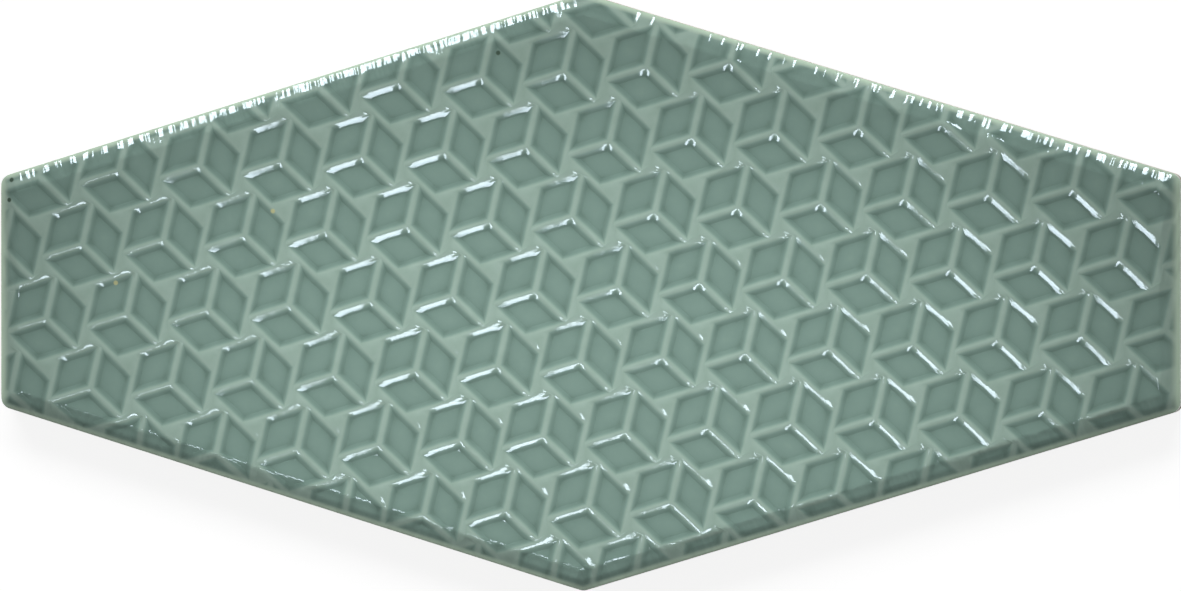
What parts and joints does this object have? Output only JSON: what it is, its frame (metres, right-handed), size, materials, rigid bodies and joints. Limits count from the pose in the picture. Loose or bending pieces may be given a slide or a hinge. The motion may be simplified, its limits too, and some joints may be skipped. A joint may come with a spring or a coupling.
{
  "type": "elongated hexagon wall tile",
  "caption": "Long hexagonal ceramic wall tile with a cushion edge, a glazed tumbling-block relief face and a keyed back for adhesive.",
  "frame": {"origin": "middle of the back, on the plane of the back's ribs and margin", "axes": "+X along the tile's length, towards a short side; +Y towards a blunt point; +Z out of the glazed face"},
  "size_m": [0.2, 0.0998, 0.008],
  "materials": {
    "glazed_body": "glossy grey-green glaze over a pale biscuit body"
  },
  "bodies": {
    "root": {"hexagon_tile": "glazed_body"}
  },
  "joints": []
}
